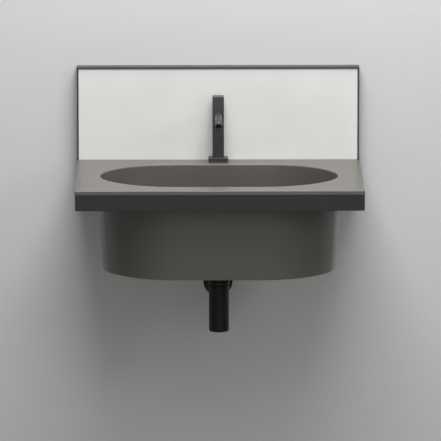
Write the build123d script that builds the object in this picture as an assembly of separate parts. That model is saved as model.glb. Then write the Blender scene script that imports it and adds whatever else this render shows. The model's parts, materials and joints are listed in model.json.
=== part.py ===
from build123d import *
from math import atan2, cos, radians, sin, sqrt, tan
import os

# Wall-hung basin in millimetres. X runs along the wall, Y points at the wall and Z is up.
# The origin is midway between the two wall fixings, on the face of the wall.

# Deck slab and its bowl
slab_width = 750.0
slab_thickness = 10.5
slab_edge_radius = 2.0
front_shelf = 43.5
bowl_clearance = 5.5
opening_length = 619.0
opening_width = 335.0
opening_straight = 230.0
opening_end_radius = 140.0
opening_rim_radius = 3.0
bowl_depth = 247.5
bowl_taper = 4.2
bowl_end_wall = 12.0
bowl_side_wall = 18.0
bowl_floor = 14.0
bowl_floor_radius = 30.0
bowl_foot_radius = 5.0
floor_fall = 4.0
floor_fall_radius = 110.0

# Support frame of folded steel under the slab
rail_height = 42.5
rail_inset = 1.0
rail_wall = 4.0
rail_top_lip = 22.0
rail_foot_lip = 14.0
fixing_spacing = 280.0
fixing_hole_radius = 6.0
bracket_arm = 45.0
bracket_height = 28.0
bracket_wall = 3.0
bracket_screw_place = 32.0
frame_screw_radius = 2.5
screw_head_radius = 4.6
screw_head_height = 2.6
screw_grip = 3.0
insert_radius = 4.0
insert_depth = 7.0
insert_play = 1.0
side_insert_spacing = 250.0
side_insert_middle = 255.0
front_insert_spacing = 500.0
screw_clearance = 0.1
frame_bend_radius = 2.0
cut_past = 1.0

# Splashback
panel_inset = 2.3
panel_height = 248.0
panel_depth = 35.0
edge_wall = 2.0
edge_lip = 4.7
board_thickness = 10.0
foot_seal_height = 1.0
key_arm = 30.0
key_wall = 2.0
key_depth = 16.0
cleat_wall = 2.5
cleat_length = 600.0
panel_cleat_length = 520.0
cleat_seat = 160.0
cleat_plate = 32.0
cleat_hook = 10.0
cleat_reach = 10.0
cleat_play = 0.3
cleat_hole_spacing = 400.0
cleat_hole_radius = 2.75
cleat_screw_radius = 2.0
cleat_screw_grip = 7.0
cleat_screw_pitch = 160.0
cleat_screw_count = 4
spacer_width = 40.0
spacer_height = 30.0
spacer_spacing = 500.0

# Tap
tap_setback = 60.0
tap_hole_radius = 14.0
base_width = 51.5
base_depth = 32.0
base_height = 11.0
base_corner_radius = 4.0
base_edge_radius = 1.0
gasket_thickness = 1.0
gasket_inset = 1.0
column_side = 30.0
column_corner_radius = 1.2
column_height = 150.0
cap_gap = 1.0
cap_height = 12.0
shank_radius = 11.0
shank_socket = 15.0
shank_drop = 42.0
inlet_radius = 3.5
inlet_depth = 12.0
inlet_spacing = 10.0
waterway_radius = 2.5
outlet_way_radius = 3.5
washer_thickness = 3.0
clamp_plate_thickness = 3.0
clamp_plate_radius = 20.0
shank_nut_height = 9.0
shank_nut_flats = 30.0

# Spout of round tube
spout_radius = 9.3
spout_bore_radius = 5.5
spout_height = 124.0
spout_run = 78.0
spout_bend_radius = 50.0
spout_bend = 30.0
spout_tip = 6.0
spout_socket = 6.0
aerator_length = 5.0
aerator_recess = 1.0
aerator_rim = 1.0
aerator_face = 2.0
aerator_hole_radius = 1.0
aerator_hole_circle = 2.9
aerator_hole_count = 8

# Cartridge and handle
cartridge_radius = 10.9
cartridge_height = 18.0
chamber_depth = 27.5
chamber_play = 0.1
swivel_radius = 8.0
swivel_depth = 8.0
ring_height = 6.0
ring_bore_radius = 8.4
running_fit = 0.05
pin_radius = 1.5
pin_drop = 5.5
stem_side = 6.0
stem_rise = 14.0
stem_foot = 7.0
ear_wall = 3.0
ear_width = 8.0
ear_play = 0.2
ear_top = 3.2
stem_clearance = 1.0
handle_lift = 15.0
handle_corner_radius = 3.0
handle_edge_radius = 0.6
lift_relief = 0.6
grub_radius = 2.0
grub_length = 8.0

# Waste
waste_hole_radius = 22.5
waste_recess_radius = 33.0
waste_recess_depth = 2.0
waste_flange_radius = 32.5
waste_flange_height = 2.0
waste_seal_thickness = 1.0
waste_tail_radius = 20.95
waste_tail_wall = 3.45
waste_tail_drop = 24.5
waste_web_rise = 12.0
waste_web_height = 4.0
waste_web_width = 4.0
bottom_seal_thickness = 3.0
bottom_seal_radius = 30.0
waste_nut_height = 8.0
waste_nut_flats = 56.0
plug_radius = 31.0
plug_height = 4.0
plug_crown = 1.5
plug_play = 0.3
plug_travel = 8.0
plug_seal_radius = 16.8
plug_seal_section = 2.4
plug_stem_radius = 3.0
click_radius = 8.0

# Bottle trap
union_nut_radius = 26.0
union_nut_grip = 10.0
union_nut_lip = 2.5
union_seal_thickness = 1.5
dip_radius = 16.0
dip_wall = 1.5
dip_flange_radius = 20.7
dip_flange_height = 2.0
dip_reach = 8.0
sleeve_play = 0.2
collar_nut_radius = 28.0
collar_nut_gap = 1.5
collar_nut_height = 9.1
collar_nut_lip = 2.5
collar_seal_thickness = 2.0
neck_radius = 24.0
trap_radius = 26.5
trap_wall = 3.5
trap_neck_gap = 2.4
trap_height = 122.7
trap_shoulder_edge = 0.9
trap_foot_radius = 4.0
cup_height = 39.5
cup_spigot = 10.0
cup_seal_thickness = 1.0
cup_seal_recess = 0.2
outlet_drop = 43.0
outlet_radius = 16.0
outlet_wall = 1.5
outlet_stub = 30.0
stop_groove_width = 2.0
stop_groove_depth = 0.3
boss_radius = 18.5
boss_length = 12.0
outlet_nut_radius = 23.0
outlet_nut_length = 16.0
outlet_nut_lip = 2.5
outlet_seal_thickness = 2.0
outlet_entry = 6.0
rosette_radius = 38.5
rosette_depth = 13.0
rosette_wall = 1.5
rosette_slope = 5.0

# Sizes and places worked out from the sizes above
bowl_setback = tap_setback + clamp_plate_radius + bowl_clearance + bowl_side_wall + opening_width / 2
slab_depth = bowl_setback + opening_width / 2 + bowl_side_wall + front_shelf
panel_width = slab_width - 2 * panel_inset
deck = slab_thickness + rail_height / 2
slab_underside = deck - slab_thickness
bowl_y = -bowl_setback
tap_y = -tap_setback
bowl_foot = deck - bowl_depth
bowl_inside = bowl_foot + bowl_floor
panel_half = panel_width / 2
panel_top = deck + panel_height
board_front = -panel_depth + edge_wall
board_back = board_front + board_thickness
rail_half = slab_width / 2 - rail_inset
rail_front = -slab_depth + rail_inset
column_foot = deck + gasket_thickness + base_height
column_top = column_foot + column_height
cap_foot = column_top + cap_gap
pin_z = column_top - pin_drop
chamber_floor = column_top - chamber_depth
spout_z = deck + spout_height
waste_seat = bowl_inside - floor_fall - waste_recess_depth
flange_foot = waste_seat + waste_seal_thickness
flange_top = flange_foot + waste_flange_height
tail_end = bowl_foot - waste_tail_drop
web_top = tail_end + waste_web_rise
click_height = 2 * plug_travel
dip_top = tail_end - union_seal_thickness
union_lip_top = dip_top - dip_flange_height
union_nut_foot = union_lip_top - union_nut_lip
collar_top = union_nut_foot - collar_nut_gap
collar_end = collar_top - collar_nut_height
trap_shoulder = collar_end - trap_neck_gap
trap_foot = trap_shoulder - trap_height
cup_joint = trap_foot + cup_height
outlet_z = trap_shoulder - outlet_drop
boss_end = bowl_y + trap_radius + boss_length


def disc(radius, low, high, x=0.0, y=0.0):
    centred = (Align.CENTER, Align.CENTER, Align.MIN)
    return Pos(x, y, low) * Cylinder(radius, high - low, align=centred)


def ring(outer, inner, low, high, x=0.0, y=0.0):
    return disc(outer, low, high, x, y) - disc(inner, low, high, x, y)


def block(x_range, y_range, z_range):
    spans = [high - low for low, high in (x_range, y_range, z_range)]
    lows = [low for low, _ in (x_range, y_range, z_range)]
    return Pos(*lows) * Box(*spans, align=(Align.MIN, Align.MIN, Align.MIN))


def hexagon(flats, low, high, x=0.0, y=0.0):
    shape = Plane.XY.offset(low) * RegularPolygon(flats / 2, 6, major_radius=False)
    return Pos(x, y, 0) * extrude(shape, high - low)


# A cylinder whose axis runs along Y between two places.
def bar(radius, start, end, x=0.0, z=0.0):
    centred = (Align.CENTER, Align.CENTER, Align.MIN)
    return Pos(x, start, z) * Rot(-90, 0, 0) * Cylinder(radius, end - start, align=centred)


def write(shape, name):
    export_step(shape, f"parts/{name}.step")


def write_group(shapes, name):
    export_step(Compound(children=list(shapes)), f"parts/{name}.step")


# Plan of the bowl: two straight sides, and ends of one tight arc between two wider ones.
def oval(half_length, half_width, half_straight, end_radius):
    end_centre = half_length - end_radius
    run = end_centre - half_straight
    wide_radius = (run**2 + half_width**2 - end_radius**2) / (2 * (half_width - end_radius))
    wide_centre = half_width - wide_radius
    reach = sqrt(run**2 + wide_centre**2)
    joint = (end_centre + end_radius * run / reach, -end_radius * wide_centre / reach)
    lean = (radians(90) + atan2(joint[1] - wide_centre, joint[0] - half_straight)) / 2
    middle = (half_straight + wide_radius * cos(lean), wide_centre + wide_radius * sin(lean))

    def end(side):
        def at(point, up):
            return (side * point[0], up * point[1])

        straight_end = (half_straight, half_width)
        return [
            ThreePointArc(at(straight_end, 1), at(middle, 1), at(joint, 1)),
            ThreePointArc(at(joint, 1), (side * half_length, 0), at(joint, -1)),
            ThreePointArc(at(joint, -1), at(middle, -1), at(straight_end, -1)),
        ]

    sides = [
        Line((-half_straight, up * half_width), (half_straight, up * half_width)) for up in (1, -1)
    ]
    return make_face(Curve() + sides + end(1) + end(-1))


def bowl_block(grow_length, grow_width, low):
    plan = oval(
        opening_length / 2 + grow_length,
        opening_width / 2 + grow_width,
        opening_straight / 2,
        opening_end_radius + grow_length,
    )
    return extrude(Pos(0, bowl_y, deck) * plan, deck - low, dir=(0, 0, -1), taper=bowl_taper)


def slab():
    plate = block((-slab_width / 2, slab_width / 2), (-slab_depth, 0), (slab_underside, deck))
    top_edges = plate.faces().sort_by(Axis.Z)[-1].edges()
    shown = [edge for edge in top_edges if edge.center().Y < -slab_edge_radius]
    return fillet(shown, slab_edge_radius)


def insert_places():
    side_x = rail_half - rail_top_lip / 2
    front_y = rail_front + rail_top_lip / 2
    sides = [
        (side * side_x, -side_insert_middle + place * side_insert_spacing / 2)
        for side in (-1, 1)
        for place in (-1, 1)
    ]
    return sides + [(side * front_insert_spacing / 2, front_y) for side in (-1, 1)]


def basin():
    outside = bowl_block(bowl_end_wall, bowl_side_wall, bowl_foot)
    outside = fillet(outside.faces().sort_by(Axis.Z)[0].edges(), bowl_foot_radius)
    inside = bowl_block(0, 0, bowl_inside)
    inside = fillet(inside.faces().sort_by(Axis.Z)[0].edges(), bowl_floor_radius)
    body = slab() + outside - inside
    rim = [
        edge
        for edge in body.edges()
        if abs(edge.bounding_box().min.Z - deck) < 0.01
        and abs(edge.bounding_box().max.Z - deck) < 0.01
        and abs(edge.center().X) < opening_length / 2 + cut_past
        and abs(edge.center().Y - bowl_y) < opening_width / 2 + cut_past
    ]
    body = fillet(rim, opening_rim_radius)
    fall = Pos(0, bowl_y, bowl_inside - floor_fall) * Cone(
        waste_recess_radius,
        floor_fall_radius,
        floor_fall,
        align=(Align.CENTER, Align.CENTER, Align.MIN),
    )
    body -= fall
    body -= disc(waste_recess_radius, waste_seat, bowl_inside, 0, bowl_y)
    body -= disc(waste_hole_radius, bowl_foot - cut_past, bowl_inside, 0, bowl_y)
    body -= disc(tap_hole_radius, slab_underside - cut_past, deck + cut_past, 0, tap_y)
    for x, y in insert_places():
        body -= disc(insert_radius, slab_underside, slab_underside + insert_depth, x, y)
    return body


# The four rails come from one frame of channel section, cut at 45 degrees in the corners.
def rail_frame():
    low = slab_underside - rail_height
    whole = block((-rail_half, rail_half), (rail_front, 0), (low, slab_underside))
    foot_edges = whole.faces().sort_by(Axis.Z)[0].edges()
    bent = [edge for edge in foot_edges if edge.center().Y < -cut_past]
    whole = fillet(bent, frame_bend_radius)

    def hollow(depth, bottom, top):
        span = (-rail_half + depth, rail_half - depth)
        return block(span, (rail_front + depth, -depth), (bottom, top))

    frame = whole - hollow(rail_top_lip, slab_underside - rail_wall, slab_underside)
    frame -= hollow(rail_wall, low + rail_wall, slab_underside - rail_wall)
    return frame - hollow(rail_foot_lip, low, low + rail_wall)


def plan_wedge(points):
    low = slab_underside - rail_height - cut_past
    corners = [Vector(x, y, low) for x, y in points]
    section = make_face(Polyline(*corners, close=True))
    return extrude(section, slab_underside + cut_past - low, dir=(0, 0, 1))


def rails():
    frame = rail_frame()
    out = rail_top_lip
    reach = 2 * rail_top_lip
    front = [
        (-rail_half - out, rail_front - out),
        (rail_half + out, rail_front - out),
        (rail_half - reach, rail_front + reach),
        (-rail_half + reach, rail_front + reach),
    ]
    back = [(x, rail_front - y) for x, y in front]
    left = [front[0], front[3], back[3], back[0]]
    right = [(-x, y) for x, y in left]
    low = slab_underside - rail_height
    wall_rail = frame & plan_wedge(back)
    for side in (-1, 1):
        hole = bar(fixing_hole_radius, -rail_wall - cut_past, cut_past, side * fixing_spacing / 2)
        wall_rail -= hole
    made = {
        "front_rail": frame & plan_wedge(front),
        "left_rail": frame & plan_wedge(left),
        "right_rail": frame & plan_wedge(right),
        "wall_rail": wall_rail,
    }
    radius = frame_screw_radius + screw_clearance
    holes = [disc(radius, low, slab_underside + cut_past, x, y) for x, y in insert_places()]
    holes += [shank for shank, head in bracket_screws()]
    return {name: shape - holes for name, shape in made.items()}


# One corner bracket's two screws, as their shanks and heads, seen from its own corner.
def bracket_screws():
    found = []
    for side in (-1, 1):
        for wall_y, inward in ((rail_front, 1), (0.0, -1)):
            start = wall_y + inward * (rail_wall - screw_grip)
            face = wall_y + inward * (rail_wall + bracket_wall)
            top = face + inward * screw_head_height
            x = side * (rail_half - bracket_screw_place)
            shank = bar(frame_screw_radius, min(start, face), max(start, face), x)
            head = bar(screw_head_radius, min(face, top), max(face, top), x)
            found.append((shank, head))
            start = rail_half - rail_wall + screw_grip
            face = rail_half - rail_wall - bracket_wall
            top = face - screw_head_height
            y = wall_y + inward * bracket_screw_place
            turned = Pos(0, y, 0) * Rot(0, side * 90, 0)
            centred = (Align.CENTER, Align.CENTER, Align.MIN)
            shank = turned * Pos(0, 0, face) * Cylinder(frame_screw_radius, start - face, align=centred)
            head = turned * Pos(0, 0, top) * Cylinder(screw_head_radius, face - top, align=centred)
            found.append((shank, head))
    return found


def frame_brackets():
    half = bracket_height / 2
    made = []
    for side in (-1, 1):
        for wall_y, inward in ((rail_front, 1), (0.0, -1)):
            corner_x = side * (rail_half - rail_wall)
            corner_y = wall_y + inward * rail_wall

            def arm(dx, dy):
                xs = sorted((corner_x, corner_x - side * dx))
                ys = sorted((corner_y, corner_y + inward * dy))
                return block(xs, ys, (-half, half))

            shape = arm(bracket_arm, bracket_wall) + arm(bracket_wall, bracket_arm)
            made.append(shape - [shank for shank, head in bracket_screws()])
    return made


def deck_screws():
    made = []
    for x, y in insert_places():
        under = slab_underside - rail_wall
        tip = slab_underside + insert_depth - insert_play
        shank = disc(frame_screw_radius, under, tip, x, y)
        made.append(shank + disc(screw_head_radius, under - screw_head_height, under, x, y))
    return made


def deck_inserts():
    return [
        ring(insert_radius, frame_screw_radius, slab_underside, slab_underside + insert_depth, x, y)
        for x, y in insert_places()
    ]


# The three edge profiles come from one arch of angle section, cut at 45 degrees in its corners.
def panel_edges():
    def arch(inset, front, back):
        outer = block((-panel_half, panel_half), (front, back), (deck, panel_top))
        span = (-panel_half + inset, panel_half - inset)
        return outer - block(span, (front, back), (deck - cut_past, panel_top - inset))

    whole = arch(edge_wall, -panel_depth, 0) + arch(edge_lip, -panel_depth, board_front)
    reach = 2 * edge_lip

    def wedge(points):
        corners = [Vector(x, -panel_depth - cut_past, z) for x, z in points]
        section = make_face(Polyline(*corners, close=True))
        return extrude(section, panel_depth + 2 * cut_past, dir=(0, 1, 0))

    outer = (-panel_half - reach, panel_top + reach)
    inner = (-panel_half + reach, panel_top - reach)
    top = [outer, inner, (-inner[0], inner[1]), (-outer[0], outer[1])]
    below = deck - cut_past
    left = [outer, inner, (inner[0], below), (outer[0], below)]
    right = [(-x, z) for x, z in left]
    return {
        "panel_top_edge": whole & wedge(top),
        "panel_left_edge": whole & wedge(left),
        "panel_right_edge": whole & wedge(right),
    }


def edge_keys():
    made = []
    y_range = (board_back + key_wall, board_back + key_wall + key_depth)
    for side in (-1, 1):
        corner_x = side * (panel_half - edge_wall)
        corner_z = panel_top - edge_wall
        arm_span = sorted((corner_x, corner_x - side * key_arm))
        wall_span = sorted((corner_x, corner_x - side * key_wall))
        flat = block(arm_span, y_range, (corner_z - key_wall, corner_z))
        made.append(flat + block(wall_span, y_range, (corner_z - key_arm, corner_z)))
    return made


def cleat_screw_places():
    first = -(cleat_screw_count - 1) / 2
    return [(first + step) * cleat_screw_pitch for step in range(cleat_screw_count)]


def cleat_screw_height():
    return deck + cleat_seat + cleat_hook + cleat_wall + cleat_plate / 2


def panel_board():
    half = panel_half - edge_wall
    heights = (deck + foot_seal_height, panel_top - edge_wall)
    shape = block((-half, half), (board_front, board_back), heights)
    holes = [
        bar(cleat_screw_radius, board_back - cleat_screw_grip, board_back, x, cleat_screw_height())
        for x in cleat_screw_places()
    ]
    return shape - holes


def foot_seal():
    half = panel_half - edge_wall
    return block((-half, half), (board_front, board_back), (deck, deck + foot_seal_height))


def extrude_section(points, length):
    corners = [Vector(-length / 2, y, z) for y, z in points]
    return extrude(make_face(Polyline(*corners, close=True)), length, dir=(1, 0, 0))


def wall_cleat():
    seat = deck + cleat_seat
    hook_front = -cleat_reach
    hook_back = hook_front + cleat_wall
    section = [
        (0, seat),
        (0, seat - cleat_plate),
        (-cleat_wall, seat - cleat_plate),
        (-cleat_wall, seat - cleat_wall),
        (hook_front, seat - cleat_wall),
        (hook_front, seat + cleat_hook),
        (hook_back, seat + cleat_hook),
        (hook_back, seat),
    ]
    shape = extrude_section(section, cleat_length)
    for side in (-1, 1):
        x = side * cleat_hole_spacing / 2
        shape -= bar(cleat_hole_radius, -cleat_wall - cut_past, cut_past, x, seat - cleat_plate / 2)
    return shape


def panel_cleat():
    seat = deck + cleat_seat
    rest = seat + cleat_hook
    plate_back = board_back + cleat_wall
    lip_front = -cleat_reach + cleat_wall + cleat_play
    lip_back = lip_front + cleat_wall
    section = [
        (board_back, rest),
        (board_back, rest + cleat_wall + cleat_plate),
        (plate_back, rest + cleat_wall + cleat_plate),
        (plate_back, rest + cleat_wall),
        (lip_back, rest + cleat_wall),
        (lip_back, seat + cleat_play),
        (lip_front, seat + cleat_play),
        (lip_front, rest),
    ]
    shape = extrude_section(section, panel_cleat_length)
    radius = cleat_screw_radius + screw_clearance
    span = (board_back - cut_past, plate_back + cut_past)
    return shape - [bar(radius, *span, x, cleat_screw_height()) for x in cleat_screw_places()]


def cleat_screws():
    made = []
    for x in cleat_screw_places():
        z = cleat_screw_height()
        face = board_back + cleat_wall
        shank = bar(cleat_screw_radius, board_back - cleat_screw_grip, face, x, z)
        made.append(shank + bar(2 * cleat_screw_radius, face, face + cleat_screw_radius, x, z))
    return made


def spacers():
    half = spacer_width / 2
    return [
        block((x - half, x + half), (board_back, 0), (deck, deck + spacer_height))
        for x in (-spacer_spacing / 2, spacer_spacing / 2)
    ]


def rounded_plate(width, depth, radius, low, high):
    plan = Pos(0, tap_y, low) * RectangleRounded(width, depth, radius)
    return extrude(plan, high - low, dir=(0, 0, 1))


def tap_base():
    low = deck + gasket_thickness
    plate = rounded_plate(base_width, base_depth, base_corner_radius, low, low + base_height)
    plate = fillet(plate.faces().sort_by(Axis.Z)[-1].edges(), base_edge_radius)
    bore = shank_radius + screw_clearance
    return plate - disc(bore, low - cut_past, low + base_height + cut_past, 0, tap_y)


def tap_gasket():
    width = base_width - 2 * gasket_inset
    depth = base_depth - 2 * gasket_inset
    top = deck + gasket_thickness
    plate = rounded_plate(width, depth, base_corner_radius - gasket_inset, deck, top)
    return plate - disc(shank_radius + screw_clearance, deck - cut_past, top + cut_past, 0, tap_y)


def waterways(low, high):
    return [disc(waterway_radius, low, high, side * inlet_spacing / 2, tap_y) for side in (-1, 1)]


def tap_column():
    shape = rounded_plate(column_side, column_side, column_corner_radius, column_foot, column_top)
    bore = cartridge_radius + chamber_play
    shape -= disc(bore, chamber_floor, column_top + cut_past, 0, tap_y)
    shape -= disc(shank_radius, column_foot - cut_past, column_foot + shank_socket, 0, tap_y)
    shape -= waterways(column_foot + shank_socket, chamber_floor)
    face = tap_y - column_side / 2
    shape -= bar(spout_radius, face - cut_past, face + spout_socket, 0, spout_z)
    way = face + spout_socket + 2 * outlet_way_radius
    shape -= bar(outlet_way_radius, face, way, 0, spout_z)
    return shape - disc(outlet_way_radius, spout_z, chamber_floor, 0, way - outlet_way_radius)


def tap_shank():
    low = slab_underside - shank_drop
    shape = disc(shank_radius, low, column_foot + shank_socket, 0, tap_y)
    for side in (-1, 1):
        shape -= disc(inlet_radius, low, low + inlet_depth, side * inlet_spacing / 2, tap_y)
    return shape - waterways(low + inlet_depth, column_foot + shank_socket)


def tap_washer():
    high = slab_underside
    bore = shank_radius + screw_clearance
    return ring(clamp_plate_radius, bore, high - washer_thickness, high, 0, tap_y)


# The clamp plate is a horseshoe, open to one side, so that it slips round the shank.
def clamp_plate():
    high = slab_underside - washer_thickness
    low = high - clamp_plate_thickness
    bore = shank_radius + screw_clearance
    mouth = block((0, clamp_plate_radius), (tap_y - bore, tap_y + bore), (low, high))
    return ring(clamp_plate_radius, bore, low, high, 0, tap_y) - mouth


def shank_nut():
    high = slab_underside - washer_thickness - clamp_plate_thickness
    low = high - shank_nut_height
    return hexagon(shank_nut_flats, low, high, 0, tap_y) - disc(shank_radius, low, high, 0, tap_y)


def spout_path():
    start = tap_y - column_side / 2 + spout_socket
    bend = tap_y - column_side / 2 - spout_run
    turn = radians(spout_bend)
    end = (bend - spout_bend_radius * sin(turn), spout_z - spout_bend_radius * (1 - cos(turn)))
    half = (
        bend - spout_bend_radius * sin(turn / 2),
        spout_z - spout_bend_radius * (1 - cos(turn / 2)),
    )
    tip = (end[0] - spout_tip * cos(turn), end[1] - spout_tip * sin(turn))
    line = [(0, start, spout_z), (0, bend, spout_z), (0, *half), (0, *end), (0, *tip)]
    return line


def spout_sweep(radius):
    start, bend, half, end, tip = spout_path()
    run = Edge.make_line(start, bend)
    curve = Edge.make_three_point_arc(bend, half, end)
    path = Wire([run, curve, Edge.make_line(end, tip)])
    section = Plane(origin=start, z_dir=(0, -1, 0)) * Circle(radius)
    return sweep(section, path=path)


def tap_spout():
    return spout_sweep(spout_radius) - spout_sweep(spout_bore_radius)


def aerator():
    tip = spout_path()[-1]
    turn = radians(spout_bend)
    mouth = Plane(origin=tip, x_dir=(1, 0, 0), z_dir=(0, -cos(turn), -sin(turn)))
    radius = spout_bore_radius
    centred = (Align.CENTER, Align.CENTER, Align.MIN)
    foot = Pos(0, 0, -aerator_recess - aerator_length)
    body = foot * Cylinder(radius, aerator_length, align=centred)
    body -= foot * Cylinder(radius - aerator_rim, aerator_length - aerator_face, align=centred)
    face_low = -aerator_recess - aerator_face
    jets = PolarLocations(aerator_hole_circle, aerator_hole_count)
    for place in [Location((0, 0, 0))] + list(jets):
        body -= place * Pos(0, 0, face_low) * Cylinder(aerator_hole_radius, aerator_face, align=centred)
    return mouth.location * body


def cartridge_body():
    high = chamber_floor + cartridge_height
    shape = disc(cartridge_radius, chamber_floor, high, 0, tap_y)
    return shape - disc(swivel_radius, high - swivel_depth, high, 0, tap_y)


def cartridge_ring():
    low = chamber_floor + cartridge_height
    return ring(cartridge_radius, ring_bore_radius, low, low + ring_height, 0, tap_y)


# The swivel turns in the cartridge and carries the stem between two ears.
def swivel():
    low = chamber_floor + cartridge_height - swivel_depth + running_fit
    shoulder = pin_z - stem_foot - stem_clearance
    shape = disc(swivel_radius - running_fit, low, shoulder, 0, tap_y)
    inner = stem_side / 2 + ear_play
    for side in (-1, 1):
        xs = sorted((side * inner, side * (inner + ear_wall)))
        ys = (tap_y - ear_width / 2, tap_y + ear_width / 2)
        shape += block(xs, ys, (shoulder, pin_z + ear_top))
    return shape - swivel_pin()


def swivel_pin():
    reach = stem_side / 2 + ear_play + ear_wall
    return Pos(0, tap_y, pin_z) * Rot(0, 90, 0) * Cylinder(pin_radius, 2 * reach)


def stem():
    half = stem_side / 2
    shape = block((-half, half), (tap_y - half, tap_y + half), (pin_z - stem_foot, pin_z + stem_rise))
    bore = Pos(0, tap_y, pin_z) * Rot(0, 90, 0) * Cylinder(pin_radius + running_fit, 2 * stem_side)
    return shape - bore


def grub_height():
    return pin_z + stem_rise - grub_radius - running_fit


# The underside rises towards the wall, so that the cap can tilt without meeting the column.
def handle():
    shape = rounded_plate(column_side, column_side, handle_corner_radius, cap_foot, cap_foot + cap_height)
    shape = fillet(shape.faces().sort_by(Axis.Z)[-1].edges(), handle_edge_radius)
    half = column_side / 2
    rise = half * tan(radians(handle_lift)) + lift_relief
    past = tap_y + half + cut_past
    corners = [(tap_y, cap_foot), (past, cap_foot), (past, cap_foot + rise * (1 + cut_past / half))]
    shape -= extrude_section(corners, 2 * column_side)
    socket = stem_side / 2
    heights = (cap_foot - cut_past, pin_z + stem_rise)
    shape -= block((-socket, socket), (tap_y - socket, tap_y + socket), heights)
    return shape - bar(grub_radius, tap_y + socket, tap_y + column_side, 0, grub_height())


def handle_screw():
    start = tap_y + stem_side / 2
    return bar(grub_radius, start, start + grub_length, 0, grub_height())


def waste_body():
    bore = waste_tail_radius - waste_tail_wall
    shape = disc(waste_flange_radius, flange_foot, flange_top, 0, bowl_y)
    shape += disc(waste_tail_radius, tail_end, flange_top, 0, bowl_y)
    return shape - disc(bore, tail_end, flange_top, 0, bowl_y)


# The click mechanism's housing sits in the tail on four arms, and the water runs between them.
def click_housing():
    bore = waste_tail_radius - waste_tail_wall
    low = web_top - waste_web_height
    half = waste_web_width / 2
    arms = block((-bore, bore), (bowl_y - half, bowl_y + half), (low, web_top))
    arms += block((-half, half), (bowl_y - bore, bowl_y + bore), (low, web_top))
    shape = arms & disc(bore, low, web_top, 0, bowl_y)
    shape += disc(click_radius, low, web_top + click_height, 0, bowl_y)
    socket = plug_stem_radius + running_fit
    return shape - disc(socket, web_top, web_top + click_height, 0, bowl_y)


def waste_plug():
    foot = flange_top + plug_play
    shape = disc(plug_radius, foot, foot + plug_height, 0, bowl_y)
    top = shape.faces().sort_by(Axis.Z)[-1].edges()
    shape = fillet(top, plug_crown)
    shape += disc(plug_seal_radius - plug_seal_section, foot - plug_seal_section, foot, 0, bowl_y)
    return shape - disc(plug_stem_radius, foot - plug_seal_section, foot + plug_height / 2, 0, bowl_y)


def plug_seal():
    foot = flange_top + plug_play
    inner = plug_seal_radius - plug_seal_section
    return ring(plug_seal_radius, inner, foot - plug_seal_section, foot, 0, bowl_y)


def plug_stem():
    foot = web_top + plug_play
    return disc(plug_stem_radius, foot, flange_top + plug_play + plug_height / 2, 0, bowl_y)


def waste_top_seal():
    return ring(waste_flange_radius, waste_hole_radius, waste_seat, flange_foot, 0, bowl_y)


def waste_bottom_seal():
    low = bowl_foot - bottom_seal_thickness
    return ring(bottom_seal_radius, waste_tail_radius, low, bowl_foot, 0, bowl_y)


def waste_nut():
    high = bowl_foot - bottom_seal_thickness
    low = high - waste_nut_height
    return hexagon(waste_nut_flats, low, high, 0, bowl_y) - disc(waste_tail_radius, low, high, 0, bowl_y)


def union_nut():
    top = tail_end + union_nut_grip
    shape = disc(union_nut_radius, union_nut_foot, top, 0, bowl_y)
    shape -= disc(waste_tail_radius, union_lip_top, top, 0, bowl_y)
    return shape - disc(dip_radius + sleeve_play, union_nut_foot, union_lip_top, 0, bowl_y)


def union_seal():
    inner = dip_radius + sleeve_play
    return ring(dip_flange_radius, inner, dip_top, tail_end, 0, bowl_y)


def dip_tube():
    end = cup_joint - dip_reach
    shape = disc(dip_radius, end, dip_top, 0, bowl_y)
    shape += disc(dip_flange_radius, union_lip_top, dip_top, 0, bowl_y)
    return shape - disc(dip_radius - dip_wall, end, dip_top, 0, bowl_y)


def collar_nut():
    shape = disc(collar_nut_radius, collar_end, collar_top, 0, bowl_y)
    shape -= disc(neck_radius, collar_end, collar_top - collar_nut_lip, 0, bowl_y)
    return shape - disc(dip_radius + sleeve_play, collar_end, collar_top, 0, bowl_y)


def collar_seal():
    top = collar_top - collar_nut_lip
    return ring(neck_radius - sleeve_play, dip_radius, top - collar_seal_thickness, top, 0, bowl_y)


# The bottle's upper half, with the neck above it and the boss for the outlet behind it.
def trap_body():
    neck_top = collar_top - collar_nut_lip - collar_seal_thickness
    ceiling = trap_shoulder - trap_wall
    shape = disc(trap_radius, cup_joint, trap_shoulder, 0, bowl_y)
    shape = chamfer(shape.faces().sort_by(Axis.Z)[-1].edges(), trap_shoulder_edge)
    shape += disc(neck_radius, ceiling, neck_top, 0, bowl_y)
    shape += bar(boss_radius, bowl_y, boss_end, 0, outlet_z)
    shape -= disc(trap_radius - trap_wall, cup_joint, ceiling, 0, bowl_y)
    shape -= disc(dip_radius + sleeve_play, ceiling, neck_top, 0, bowl_y)
    return shape - bar(outlet_radius + sleeve_play, bowl_y, boss_end, 0, outlet_z)


def cup_seal():
    outer = trap_radius - cup_seal_recess
    inner = trap_radius - trap_wall
    return ring(outer, inner, cup_joint - cup_seal_thickness, cup_joint, 0, bowl_y)


def trap_cup():
    rim = cup_joint - cup_seal_thickness
    spigot_top = cup_joint + cup_spigot
    outer = disc(trap_radius, trap_foot, rim, 0, bowl_y)
    outer = fillet(outer.faces().sort_by(Axis.Z)[0].edges(), trap_foot_radius)
    spigot = trap_radius - trap_wall
    outer += disc(spigot, rim, spigot_top, 0, bowl_y)
    return outer - disc(spigot - trap_wall, trap_foot + trap_wall, spigot_top, 0, bowl_y)


def outlet_nut():
    face = boss_end + outlet_seal_thickness
    end = face + outlet_nut_lip
    shape = bar(outlet_nut_radius, end - outlet_nut_length, end, 0, outlet_z)
    shape -= bar(boss_radius, end - outlet_nut_length, face, 0, outlet_z)
    shape -= bar(outlet_radius + sleeve_play, face, end, 0, outlet_z)
    low, high = outlet_z - outlet_nut_radius, outlet_z + outlet_nut_radius
    return shape - disc(trap_radius + sleeve_play, low, high, 0, bowl_y)


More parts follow.
